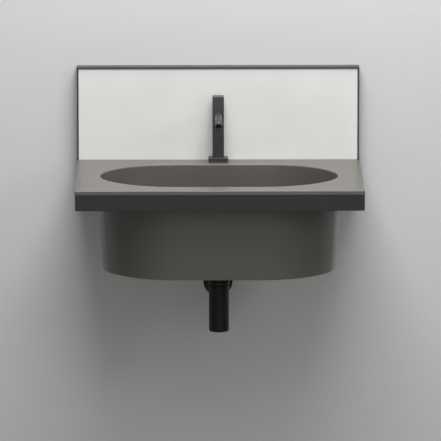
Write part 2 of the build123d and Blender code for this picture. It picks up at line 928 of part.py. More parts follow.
def outlet_seal():
    start = boss_end
    outer = bar(boss_radius - sleeve_play, start, start + outlet_seal_thickness, 0, outlet_z)
    return outer - bar(outlet_radius, start, start + outlet_seal_thickness, 0, outlet_z)


# The pipe runs through the wall's face, where a shallow groove stops the wall socket's seal.
def outlet_pipe():
    start = boss_end - outlet_entry
    outer = bar(outlet_radius, start, outlet_stub, 0, outlet_z)
    groove = bar(outlet_radius, 0, stop_groove_width, 0, outlet_z)
    groove -= bar(outlet_radius - stop_groove_depth, 0, stop_groove_width, 0, outlet_z)
    return outer - groove - bar(outlet_radius - outlet_wall, start, outlet_stub, 0, outlet_z)


# A thin round cover, turned about the pipe, with a short collar where the pipe goes through.
def rosette():
    bore = outlet_radius + sleeve_play
    collar = bore + rosette_wall
    outer = [
        Vector(0, 0, rosette_radius),
        Vector(0, -rosette_wall, rosette_radius),
        Vector(0, -rosette_depth + rosette_slope, collar + rosette_slope),
        Vector(0, -rosette_depth, collar),
        Vector(0, -rosette_depth, bore),
        Vector(0, -rosette_depth + rosette_slope, bore + rosette_wall),
        Vector(0, 0, rosette_radius - 2 * rosette_wall),
    ]
    section = make_face(Polyline(*outer, close=True))
    turned = revolve(section, axis=Axis.Y)
    return Pos(0, 0, outlet_z) * (turned - bar(bore, -rosette_depth - cut_past, cut_past))


def main():
    os.makedirs("parts", exist_ok=True)
    pieces = {
        "basin": basin(),
        "panel_board": panel_board(),
        "panel_foot_seal": foot_seal(),
        "panel_cleat": panel_cleat(),
        "wall_cleat": wall_cleat(),
        "tap_base": tap_base(),
        "tap_gasket": tap_gasket(),
        "tap_column": tap_column(),
        "tap_shank": tap_shank(),
        "tap_washer": tap_washer(),
        "tap_clamp_plate": clamp_plate(),
        "tap_nut": shank_nut(),
        "tap_spout": tap_spout(),
        "spout_aerator": aerator(),
        "cartridge_body": cartridge_body(),
        "cartridge_ring": cartridge_ring(),
        "cartridge_swivel": swivel(),
        "swivel_pin": swivel_pin(),
        "tap_stem": stem(),
        "tap_handle": handle(),
        "handle_screw": handle_screw(),
        "waste_body": waste_body(),
        "waste_top_seal": waste_top_seal(),
        "waste_bottom_seal": waste_bottom_seal(),
        "waste_nut": waste_nut(),
        "waste_plug": waste_plug(),
        "plug_seal": plug_seal(),
        "plug_stem": plug_stem(),
        "click_housing": click_housing(),
        "trap_union_nut": union_nut(),
        "trap_union_seal": union_seal(),
        "trap_dip_tube": dip_tube(),
        "trap_collar_nut": collar_nut(),
        "trap_collar_seal": collar_seal(),
        "trap_body": trap_body(),
        "trap_cup": trap_cup(),
        "trap_cup_seal": cup_seal(),
        "outlet_nut": outlet_nut(),
        "outlet_seal": outlet_seal(),
        "outlet_pipe": outlet_pipe(),
        "wall_rosette": rosette(),
    }
    pieces.update(rails())
    pieces.update(panel_edges())
    for name, shape in pieces.items():
        write(shape, name)
    groups = {
        "frame_brackets": frame_brackets(),
        "frame_screws": [shank + head for shank, head in bracket_screws()],
        "deck_inserts": deck_inserts(),
        "deck_screws": deck_screws(),
        "edge_corner_keys": edge_keys(),
        "cleat_screws": cleat_screws(),
        "panel_spacers": spacers(),
    }
    for name, shapes in groups.items():
        write_group(shapes, name)


main()
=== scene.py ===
import json
from math import atan2, cos, hypot, pi, radians, sin, tan

import bmesh
import bpy
from mathutils import Matrix, Vector


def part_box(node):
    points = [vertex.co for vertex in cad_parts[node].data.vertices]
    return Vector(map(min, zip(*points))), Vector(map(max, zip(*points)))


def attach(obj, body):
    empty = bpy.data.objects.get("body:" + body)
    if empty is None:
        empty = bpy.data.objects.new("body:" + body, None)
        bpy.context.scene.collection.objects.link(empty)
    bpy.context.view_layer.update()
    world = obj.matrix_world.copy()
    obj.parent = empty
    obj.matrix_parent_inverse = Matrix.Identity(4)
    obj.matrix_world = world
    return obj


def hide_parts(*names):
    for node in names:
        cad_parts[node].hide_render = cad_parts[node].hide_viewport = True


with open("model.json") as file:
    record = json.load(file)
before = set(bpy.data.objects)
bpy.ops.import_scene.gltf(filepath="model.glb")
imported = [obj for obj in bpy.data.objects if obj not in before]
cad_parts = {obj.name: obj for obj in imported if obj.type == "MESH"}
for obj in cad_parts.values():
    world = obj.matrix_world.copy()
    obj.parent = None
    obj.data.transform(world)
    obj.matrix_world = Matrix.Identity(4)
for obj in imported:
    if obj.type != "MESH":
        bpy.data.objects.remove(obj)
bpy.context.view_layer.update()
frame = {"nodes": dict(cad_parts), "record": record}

nodes = frame["nodes"]


# Colours are sRGB hex codes, turned to the linear values that the shaders take.
def hexColour(code):
    parts = [int(code[start:start + 2], 16) / 255 for start in (1, 3, 5)]
    linear = [part / 12.92 if part <= 0.04045 else ((part + 0.055) / 1.055) ** 2.4 for part in parts]
    return (*linear, 1.0)


# Adds one node: settings are its properties or its sockets' values, links are sockets to join.
def addNode(tree, kind, settings=None, links=None):
    node = tree.nodes.new(kind)
    for name, value in (settings or {}).items():
        if isinstance(name, str) and hasattr(node, name):
            setattr(node, name, value)
        else:
            node.inputs[name].default_value = value
    for name, source in (links or {}).items():
        tree.links.new(source, node.inputs[name])
    return node


def startMaterial(name, **shader):
    material = bpy.data.materials.new(name)
    material.use_nodes = True
    tree = material.node_tree
    tree.nodes.clear()
    settings = {key.replace("_", " "): value for key, value in shader.items()}
    bsdf = addNode(tree, "ShaderNodeBsdfPrincipled", settings)
    addNode(tree, "ShaderNodeOutputMaterial", links={"Surface": bsdf.outputs[0]})
    where = addNode(tree, "ShaderNodeTexCoord").outputs["Object"]
    return material, tree, bsdf, where


# Mixes two colours by a noise whose grains are grainSize metres wide.
def grainColour(tree, where, grainSize, dark, light, detail=2.0, spread=(0.35, 0.65)):
    noise = addNode(tree, "ShaderNodeTexNoise", {"Scale": 1 / grainSize, "Detail": detail}, {"Vector": where})
    ramp = addNode(tree, "ShaderNodeValToRGB", links={"Fac": noise.outputs[0]})
    for stop, place, colour in zip(ramp.color_ramp.elements, spread, (dark, light)):
        stop.position = place
        stop.color = hexColour(colour)
    return ramp.outputs["Color"]


# Raises a noise's grains by depth metres.
def grainBump(tree, bsdf, where, grainSize, depth, detail=2.0, strength=1.0):
    noise = addNode(tree, "ShaderNodeTexNoise", {"Scale": 1 / grainSize, "Detail": detail}, {"Vector": where})
    bump = addNode(tree, "ShaderNodeBump", {"Strength": strength, "Distance": depth}, {"Height": noise.outputs[0]})
    tree.links.new(bump.outputs[0], bsdf.inputs["Normal"])


def varyRoughness(tree, bsdf, where, patchSize, low, high):
    noise = addNode(tree, "ShaderNodeTexNoise", {"Scale": 1 / patchSize, "Detail": 3.0}, {"Vector": where})
    span = addNode(tree, "ShaderNodeMapRange", {"To Min": low, "To Max": high}, {"Value": noise.outputs[0]})
    tree.links.new(span.outputs[0], bsdf.inputs["Roughness"])


stoneLook = {
    "dark": "#54514d",
    "light": "#5a5752",
    "grain": 0.0012,      # quartz sand of about 0.6 mm, drawn at twice that so that it shows
    "grainDepth": 0.00004,
    "roughLow": 0.32,
    "roughHigh": 0.38,
    "patch": 0.05,
}


# Quartz and resin composite, cast in a matt mould: warm grey, faintly speckled, with a soft sheen.
def castQuartz():
    look = stoneLook
    material, tree, bsdf, where = startMaterial("castQuartzComposite", IOR=1.5)
    colour = grainColour(tree, where, look["grain"], look["dark"], look["light"], detail=3.0)
    tree.links.new(colour, bsdf.inputs["Base Color"])
    varyRoughness(tree, bsdf, where, look["patch"], look["roughLow"], look["roughHigh"])
    grainBump(tree, bsdf, where, look["grain"], look["grainDepth"], detail=3.0)
    return material


coatLooks = {
    "frame": ("powderCoatCharcoal", "#1b1c1d", "#202121", 0.0009, 0.00005, 0.5, 0.56, 1.5),
    "edge": ("powderCoatDarkGrey", "#363635", "#3c3c3b", 0.0009, 0.00004, 0.42, 0.48, 1.5),
    "trap": ("satinBlackCoatOnBrass", "#0a0a0b", "#0e0e0f", 0.0012, 0.00001, 0.4, 0.46, 1.35),
    "waste": ("satinBlackCoatOnWaste", "#1a1a1b", "#1f1f20", 0.0012, 0.00001, 0.34, 0.4, 1.5),
}


# Powder coat: a fine orange peel that breaks up the highlights. The sprayed satin coats are smoother.
def coat(which):
    name, dark, light, grain, depth, roughLow, roughHigh, index = coatLooks[which]
    material, tree, bsdf, where = startMaterial(name, IOR=index)
    tree.links.new(grainColour(tree, where, grain, dark, light), bsdf.inputs["Base Color"])
    varyRoughness(tree, bsdf, where, 0.03, roughLow, roughHigh)
    grainBump(tree, bsdf, where, grain, depth)
    return material


# Gunmetal vapour coat over brushed brass: a dark metal with very fine upright brush lines.
def gunmetal():
    material, tree, bsdf, where = startMaterial("gunmetalVapourCoat", Metallic=0.5)
    stretched = addNode(tree, "ShaderNodeMapping", {"Scale": (1.0, 1.0, 0.03)}, {"Vector": where})
    colour = grainColour(tree, stretched.outputs[0], 0.0008, "#424241", "#4a4a49")
    tree.links.new(colour, bsdf.inputs["Base Color"])
    varyRoughness(tree, bsdf, stretched.outputs[0], 0.002, 0.34, 0.42)
    grainBump(tree, bsdf, stretched.outputs[0], 0.0006, 0.00001)
    return material


# Satin laminate on the splashback: near white, almost no texture, with a faint calender ripple.
def whiteLaminate():
    material, tree, bsdf, where = startMaterial("whiteSatinLaminate", IOR=1.5)
    colour = grainColour(tree, where, 0.12, "#dadad8", "#dededc")
    tree.links.new(colour, bsdf.inputs["Base Color"])
    varyRoughness(tree, bsdf, where, 0.08, 0.4, 0.46)
    grainBump(tree, bsdf, where, 0.002, 0.00001)
    return material


plainLooks = {
    "steel": ("zincPlatedSteel", "#a3a4a6", "#b4b5b6", 1.0, 0.3, 0.42, 0.001),
    "brass": ("machinedBrass", "#b08a4a", "#bd9756", 1.0, 0.25, 0.36, 0.0008),
    "aluminium": ("extrudedAluminium", "#b9babc", "#c3c4c5", 1.0, 0.32, 0.42, 0.0015),
    "greyPlastic": ("mouldedNylonGrey", "#6a6b6b", "#707171", 0.0, 0.5, 0.6, 0.0012),
    "palePlastic": ("mouldedAcetal", "#c6c5bf", "#cdccc6", 0.0, 0.4, 0.48, 0.0012),
    "blackPlastic": ("mouldedBlackAcetal", "#0b0b0b", "#0f0f0f", 0.0, 0.35, 0.42, 0.0012),
    "rubber": ("mouldedEpdmRubber", "#161616", "#1b1b1b", 0.0, 0.6, 0.7, 0.001),
    "sealant": ("whiteSilicone", "#c3c2be", "#cac9c5", 0.0, 0.4, 0.48, 0.003),
}


# Fittings that hardly show: machined metals, moulded plastics and seals, each with its own grain.
def plain(which):
    name, dark, light, metallic, roughLow, roughHigh, grain = plainLooks[which]
    material, tree, bsdf, where = startMaterial(name, Metallic=metallic)
    tree.links.new(grainColour(tree, where, grain, dark, light), bsdf.inputs["Base Color"])
    varyRoughness(tree, bsdf, where, 0.01, roughLow, roughHigh)
    grainBump(tree, bsdf, where, grain, 0.00001)
    return material


finishes = {
    "basin_stone": castQuartz(),
    "frame_coat": coat("frame"),
    "edge_coat": coat("edge"),
    "trap_coat": coat("trap"),
    "waste_coat": coat("waste"),
    "tap_coat": gunmetal(),
    "board_white": whiteLaminate(),
    "steel": plain("steel"),
    "brass": plain("brass"),
    "cartridge_brass": plain("brass"),
    "aluminium": plain("aluminium"),
    "plastic_grey": plain("greyPlastic"),
    "cartridge_plastic": plain("palePlastic"),
    "aerator_plastic": plain("blackPlastic"),
    "rubber_black": plain("rubber"),
    "silicone_grey": plain("sealant"),
}
print("materials made")

slotOf = {row["node"]: row["material_slot"] for row in frame["record"]["subparts"]}
bodyOf = {node: body for body, members in frame["record"]["behaviour"]["bodies"].items() for node in members}

for name, node in nodes.items():
    node.data.materials.clear()
    node.data.materials.append(finishes[slotOf[name]])


# Turns a finished bmesh into a piece that stands for one CAD node.
def standFor(node, bm, sharpAngle=40.0):
    bmesh.ops.remove_doubles(bm, verts=bm.verts[:], dist=0.000001)
    bmesh.ops.recalc_face_normals(bm, faces=bm.faces[:])
    for face in bm.faces:
        face.smooth = True
    for edge in bm.edges:
        edge.smooth = len(edge.link_faces) == 2 and edge.calc_face_angle() < radians(sharpAngle)
    openEdges = sum(len(edge.link_faces) != 2 for edge in bm.edges)
    if openEdges:
        print(node, "has open edges:", openEdges)
    mesh = bpy.data.meshes.new("shown_" + node)
    bm.to_mesh(mesh)
    bm.free()
    piece = bpy.data.objects.new("shown_" + node, mesh)
    bpy.context.scene.collection.objects.link(piece)
    mesh.materials.append(finishes[slotOf[node]])
    weighted = piece.modifiers.new("weighted", "WEIGHTED_NORMAL")  # large faces stay flat beside their rounded edges
    weighted.keep_sharp = True
    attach(piece, bodyOf[node])
    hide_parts(node)
    return piece


# A closed ring of edges through plan points (x, y) at one height.
def ringAt(bm, plan, height):
    verts = bmesh.ops.create_circle(bm, segments=len(plan), radius=1.0)["verts"]
    for vert, (x, y) in zip(verts, plan):
        vert.co = (x, y, height)
    return list({edge for vert in verts for edge in vert.link_edges})


# Joins rings one after the other into a wall.
def joinRings(bm, rings):
    for first, second in zip(rings, rings[1:]):
        bmesh.ops.bridge_loops(bm, edges=first + second)


def fillBetween(bm, rings, up):
    edges = [edge for ring in rings for edge in ring]
    bmesh.ops.triangle_fill(bm, use_beauty=True, edges=edges, normal=(0, 0, up))


def circlePlan(radius, centreY, angles):
    return [(radius * cos(angle), centreY + radius * sin(angle)) for angle in angles]


# A rectangle's plan with rounded corners, counter-clockwise.
def rectanglePlan(halfWidth, front, back, radius, cornerSteps=5):
    corners = [
        (halfWidth - radius, back - radius, 0),
        (-halfWidth + radius, back - radius, 1),
        (-halfWidth + radius, front + radius, 2),
        (halfWidth - radius, front + radius, 3),
    ]
    plan = []
    for x, y, quarter in corners:
        for step in range(cornerSteps + 1):
            angle = (quarter + step / cornerSteps) * pi / 2
            plan.append((x + radius * cos(angle), y + radius * sin(angle)))
    return plan


basinSizes = {
    "setback": 0.271,
    "openingHalfLength": 0.3095,
    "openingHalfWidth": 0.1675,
    "halfStraight": 0.115,
    "endRadius": 0.14,
    "rimRadius": 0.003,
    "taper": 4.2,
    "endWall": 0.012,
    "sideWall": 0.018,
    "slabThickness": 0.0105,
    "slabEdgeRadius": 0.002,
    "slabCornerRadius": 0.0015,
    "floorThickness": 0.014,
    "floorRadius": 0.03,
    "footRadius": 0.005,
    "floorFall": 0.004,
    "fallRadius": 0.11,
    "recessRadius": 0.033,
    "recessDepth": 0.002,
    "wasteHoleRadius": 0.0225,
    "tapHoleRadius": 0.014,
    "tapSetback": 0.06,
    "supportWidth": 0.0012,
    "endSteps": 18,
    "wideSteps": 8,
    "straightSteps": 6,
    "wallSteps": 8,
    "roundSteps": 8,
}


# The bowl's plan, grown or shrunk evenly: an end arc, a wide arc and half a straight side, mirrored round.
def bowlPlan(grow, growSide=None):
    size = basinSizes
    growSide = grow if growSide is None else growSide
    halfLength = size["openingHalfLength"] + grow
    halfWidth = size["openingHalfWidth"] + growSide
    endRadius = size["endRadius"] + grow
    endCentre = halfLength - endRadius
    run = endCentre - size["halfStraight"]
    wideRadius = (run ** 2 + halfWidth ** 2 - endRadius ** 2) / (2 * (halfWidth - endRadius))
    wideCentre = halfWidth - wideRadius
    joint = atan2(-wideCentre, run)
    quarter = []
    for step in range(size["endSteps"]):
        angle = joint * step / size["endSteps"]
        quarter.append((endCentre + endRadius * cos(angle), endRadius * sin(angle)))
    for step in range(size["wideSteps"]):
        angle = joint + (pi / 2 - joint) * step / size["wideSteps"]
        quarter.append((size["halfStraight"] + wideRadius * cos(angle), wideCentre + wideRadius * sin(angle)))
    for step in range(size["straightSteps"]):
        quarter.append((size["halfStraight"] * (1 - step / size["straightSteps"]), halfWidth))
    half = quarter + [(0.0, halfWidth)] + [(-x, y) for x, y in reversed(quarter[1:])]
    whole = half + [(-x, -y) for x, y in half]
    return [(x, y - size["setback"]) for x, y in whole]


def makeBasin():
    size = basinSizes
    low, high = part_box("basin")
    bm = bmesh.new()
    slope = tan(radians(size["taper"]))
    deckTop = high.z
    underside = deckTop - size["slabThickness"]
    foot = low.z
    floor = foot + size["floorThickness"]
    angles = [atan2(y + size["setback"], x) for x, y in bowlPlan(0.0)]

    def rounding(radius, steps):
        return [(radius * sin(step / steps * pi / 2), radius * (1 - cos(step / steps * pi / 2))) for step in range(steps + 1)]

    def inner(inset, height):
        return ringAt(bm, bowlPlan(-inset - (deckTop - height) * slope), height)

    def outer(inset, height):
        shrink = inset + (deckTop - height) * slope
        return ringAt(bm, bowlPlan(size["endWall"] - shrink, size["sideWall"] - shrink), height)

    def circle(radius, height):
        return ringAt(bm, circlePlan(radius, -size["setback"], angles), height)

    rim = size["rimRadius"]
    deckRing = ringAt(bm, bowlPlan(rim + size["supportWidth"]), deckTop)
    rings = [deckRing]
    for along, drop in rounding(rim, size["roundSteps"]):
        rings.append(inner(along - rim, deckTop - drop))
    wallTop = deckTop - rim
    wallFoot = floor + size["floorRadius"]
    for step in range(1, size["wallSteps"] + 1):
        rings.append(inner(0.0, wallTop + (wallFoot - wallTop) * step / size["wallSteps"]))
    for along, drop in rounding(size["floorRadius"], size["roundSteps"])[1:]:
        rings.append(inner(drop, wallFoot - along))
    wasteSeat = floor - size["floorFall"] - size["recessDepth"]
    rings.append(circle(size["fallRadius"], floor))
    rings.append(circle(size["recessRadius"], floor - size["floorFall"]))
    rings.append(circle(size["recessRadius"], wasteSeat))
    joinRings(bm, rings)
    wasteHole = [circle(size["wasteHoleRadius"], height) for height in (wasteSeat, foot)]
    joinRings(bm, wasteHole)
    fillBetween(bm, [rings[-1], wasteHole[0]], 1)
    outside = []
    for along, drop in rounding(size["footRadius"], size["roundSteps"]):
        outside.append(outer(size["footRadius"] - along, foot + drop))
    outerFoot = foot + size["footRadius"]
    for step in range(1, size["wallSteps"] + 1):
        outside.append(outer(0.0, outerFoot + (underside - outerFoot) * step / size["wallSteps"]))
    joinRings(bm, outside)
    fillBetween(bm, [wasteHole[1], outside[0]], -1)

    corner = size["slabCornerRadius"]
    bottomRing = ringAt(bm, rectanglePlan(high.x, low.y, high.y, corner), underside)
    slabRings = [bottomRing]
    edgeRadius = size["slabEdgeRadius"]
    for along, drop in reversed(rounding(edgeRadius, 4)):
        inset = edgeRadius - along
        slabRings.append(ringAt(bm, rectanglePlan(high.x - inset, low.y + inset, high.y, corner), deckTop - drop))
    joinRings(bm, slabRings)
    holeAngles = [step * pi / 24 for step in range(48)]
    holes = [
        ringAt(bm, circlePlan(size["tapHoleRadius"], -size["tapSetback"], holeAngles), height)
        for height in (deckTop, underside)
    ]
    joinRings(bm, holes)
    fillBetween(bm, [slabRings[-1], deckRing, holes[0]], 1)
    fillBetween(bm, [bottomRing, outside[-1], holes[1]], -1)
    return standFor("basin", bm)


basin = makeBasin()
print("basin made")

# A closed ring of edges through plan points (x, y), filled and drawn up into a prism.
def prism(bm, plan, low, high):
    edges = ringAt(bm, plan, low)
    faces = bmesh.ops.edgeloop_fill(bm, edges=edges)["faces"]
    grown = bmesh.ops.extrude_face_region(bm, geom=faces)["geom"]
    bmesh.ops.translate(bm, verts=[item for item in grown if isinstance(item, bmesh.types.BMVert)], vec=(0, 0, high - low))
    bmesh.ops.recalc_face_normals(bm, faces=bm.faces[:])


# Rounds every edge that turns by more than leastTurn degrees, apart from those that skip names.
def roundEdges(bm, width, segments=3, leastTurn=40.0, skip=None):
    turned = [
        edge for edge in bm.edges
        if len(edge.link_faces) == 2 and edge.calc_face_angle() > radians(leastTurn) and not (skip and skip(edge))
    ]
    bmesh.ops.bevel(
        bm, geom=turned, offset=width, offset_type="OFFSET", affect="EDGES",
        segments=segments, profile=0.5, material=-1, clamp_overlap=True,
    )


# Sinks a round hole into the flat face that start lies on. A through hole leaves by the face across from it.
def drill(bm, start, inward, radius, depth, through=False, steps=48):
    start, inward = Vector(start), Vector(inward)

    def openFace(point, outward):
        flat = [
            face for face in bm.faces
            if face.normal.dot(outward) > 0.999 and abs((face.verts[0].co - point).dot(outward)) < 0.00001
        ]
        face = max(flat, key=lambda item: item.calc_area())
        edges = list(face.edges)
        bmesh.ops.delete(bm, geom=[face], context="FACES_ONLY")
        return edges

    bm.normal_update()
    rim = openFace(start, -inward)
    turned = Matrix.Translation(start) @ inward.to_track_quat("Z", "Y").to_matrix().to_4x4()
    verts = bmesh.ops.create_circle(bm, segments=steps, radius=radius, matrix=turned)["verts"]
    ring = list({edge for vert in verts for edge in vert.link_edges})
    bmesh.ops.triangle_fill(bm, use_beauty=True, edges=rim + ring, normal=-inward)
    grown = bmesh.ops.extrude_edge_only(bm, edges=ring)["geom"]
    moved = [item for item in grown if isinstance(item, bmesh.types.BMVert)]
    bmesh.ops.translate(bm, verts=moved, vec=inward * depth)
    end = [item for item in grown if isinstance(item, bmesh.types.BMEdge) and all(vert in moved for vert in item.verts)]
    if through:
        bmesh.ops.triangle_fill(bm, use_beauty=True, edges=openFace(start + inward * depth, inward) + end, normal=inward)
    else:
        bmesh.ops.edgeloop_fill(bm, edges=end)


# Turns a profile of (radius, height) points about the upright axis through (0, centreY).
def lathe(bm, profile, centreY=0.0, steps=96, closed=True):
    verts = [bm.verts.new((radius, 0.0, height)) for radius, height in profile]
    pairs = list(zip(verts, verts[1:]))
    if closed:
        pairs.append((verts[-1], verts[0]))
    edges = [bm.edges.new(pair) for pair in pairs]
    bmesh.ops.spin(bm, geom=verts + edges, cent=(0, 0, 0), axis=(0, 0, 1), angle=2 * pi, steps=steps, use_merge=True)
    bmesh.ops.remove_doubles(bm, verts=bm.verts[:], dist=0.000001)
    bmesh.ops.translate(bm, verts=bm.verts[:], vec=(0, centreY, 0))
    bmesh.ops.recalc_face_normals(bm, faces=bm.faces[:])


# Draws a section of (y, z) points along X, then cuts it by planes given as (point, normal): the normal's side goes.
def profileBar(bm, section, low, high, cuts):
    verts = [bm.verts.new((low, y, z)) for y, z in section]
    edges = [bm.edges.new(pair) for pair in zip(verts, verts[1:] + verts[:1])]
    faces = bmesh.ops.edgeloop_fill(bm, edges=edges)["faces"]
    grown = bmesh.ops.extrude_face_region(bm, geom=faces)["geom"]
    bmesh.ops.translate(bm, verts=[item for item in grown if isinstance(item, bmesh.types.BMVert)], vec=(high - low, 0, 0))
    for point, normal in cuts:
        whole = bm.verts[:] + bm.edges[:] + bm.faces[:]
        bmesh.ops.bisect_plane(bm, geom=whole, plane_co=point, plane_no=normal, clear_outer=True)
        openEdges = [edge for edge in bm.edges if len(edge.link_faces) == 1]
        bmesh.ops.edgeloop_fill(bm, edges=openEdges)
    bmesh.ops.recalc_face_normals(bm, faces=bm.faces[:])


railSizes = {
    "wall": 0.004,
    "topLip": 0.022,
    "footLip": 0.014,
    "bendRadius": 0.002,
    "edgeRadius": 0.0004,
    "spare": 0.01,        # the bar's length past a corner, which the mitre cuts off
}


# A folded channel, its foot edge bent round, cut at 45 degrees where it meets its neighbours.
def makeRail(node, turn, length, mitres):
    size = railSizes
    low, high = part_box(node)
    top, foot, wall = high.z, low.z, size["wall"]
    section = [
        (0, top), (size["topLip"], top), (size["topLip"], top - wall), (wall, top - wall),
        (wall, foot + wall), (size["footLip"], foot + wall), (size["footLip"], foot), (0, foot),
    ]
    half = length / 2
    end = half + size["spare"]
    bm = bmesh.new()
    profileBar(bm, section, -end, end, [((side * half, 0, 0), (side, 1, 0)) for side in mitres])

    def isFootEdge(edge):
        return all(abs(vert.co.z - foot) < 0.0001 and abs(vert.co.y) < 0.0001 for vert in edge.verts)

    bends = [edge for edge in bm.edges if isFootEdge(edge)]
    bmesh.ops.bevel(
        bm, geom=bends, offset=size["bendRadius"], offset_type="OFFSET", affect="EDGES",
        segments=6, profile=0.5, material=-1, clamp_overlap=True,
    )
    roundEdges(bm, size["edgeRadius"], segments=2, leastTurn=60.0)
    middle = ((low.x + high.x) / 2, (low.y + high.y) / 2)
    bmesh.ops.rotate(bm, verts=bm.verts[:], cent=(0, 0, 0), matrix=Matrix.Rotation(turn, 3, "Z"))
    if turn == 0:
        shift = (middle[0], low.y, 0)
    else:
        shift = (low.x if turn < 0 else high.x, middle[1], 0)
    bmesh.ops.translate(bm, verts=bm.verts[:], vec=shift)
    return standFor(node, bm)


frontLow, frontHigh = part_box("front_rail")
leftLow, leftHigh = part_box("left_rail")
makeRail("front_rail", 0.0, frontHigh.x - frontLow.x, (-1, 1))
makeRail("left_rail", -pi / 2, leftHigh.y - leftLow.y, (-1, 1))
makeRail("right_rail", pi / 2, leftHigh.y - leftLow.y, (-1, 1))
print("rails made")

panelSizes = {
    "wall": 0.002,
    "lip": 0.0047,
    "edgeRadius": 0.0003,
    "boardEdgeRadius": 0.0004,
}


# The splashback's edge profiles: a thin angle with its lip over the board, mitred at the two top corners.
def makePanelEdges():
    size = panelSizes
    low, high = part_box("panel_top_edge")
    top, front, half = high.z, low.y, high.x
    lip, wall = size["lip"], size["wall"]
    section = [
        (front, 0), (0, 0), (0, -wall), (front + wall, -wall), (front + wall, -lip), (front, -lip),
    ]
    bm = bmesh.new()
    raised = [(y, z + top) for y, z in section]
    end = half + railSizes["spare"]
    profileBar(bm, raised, -end, end, [((side * half, 0, top), (side, 0, -1)) for side in (-1, 1)])
    roundEdges(bm, size["edgeRadius"], segments=2, leastTurn=60.0)
    standFor("panel_top_edge", bm)
    sideLow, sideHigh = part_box("panel_left_edge")
    for node, side in (("panel_left_edge", -1), ("panel_right_edge", 1)):
        bm = bmesh.new()
        profileBar(bm, section, sideLow.z, sideHigh.z + railSizes["spare"], [((top, 0, 0), (1, 0, -1))])
        roundEdges(bm, size["edgeRadius"], segments=2, leastTurn=60.0)
        for vert in bm.verts:
            vert.co = (side * (half + vert.co.z), vert.co.y, vert.co.x)
        standFor(node, bm)


makePanelEdges()


def makeBoard():
    low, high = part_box("panel_board")
    bm = bmesh.new()
    prism(bm, rectanglePlan(high.x, low.y, high.y, 0.0005, 2), low.z, high.z)
    roundEdges(bm, panelSizes["boardEdgeRadius"], segments=2)
    return standFor("panel_board", bm)


makeBoard()
print("splashback made")

tapSizes = {
    "baseCorner": 0.004,
    "baseEdge": 0.0014,
    "columnCorner": 0.0012,
    "columnEdge": 0.0005,
    "handleCorner": 0.003,
    "handleEdge": 0.0008,
    "relief": 15.0,
    "reliefGap": 0.0006,
    "spoutRadius": 0.0093,
    "boreRadius": 0.0055,
    "spoutBend": 0.05,
    "spoutTurn": 30.0,
    "spoutTip": 0.006,
    "mouthEdge": 0.0008,
    "shankRadius": 0.011,
    "shankSocket": 0.015,
    "chamberRadius": 0.011,
    "chamberDepth": 0.0275,
    "spoutSocket": 0.006,
    "screwRadius": 0.002,
    "screwDepth": 0.012,
}


def tapPlate(node, corner, edge, cornerSteps=6):
    low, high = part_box(node)
    bm = bmesh.new()
    prism(bm, rectanglePlan(high.x, low.y, high.y, corner, cornerSteps), low.z, high.z)
    foot = low.z
    roundEdges(bm, edge, segments=4, skip=lambda item: all(abs(vert.co.z - foot) < 0.0001 for vert in item.verts))
    return bm


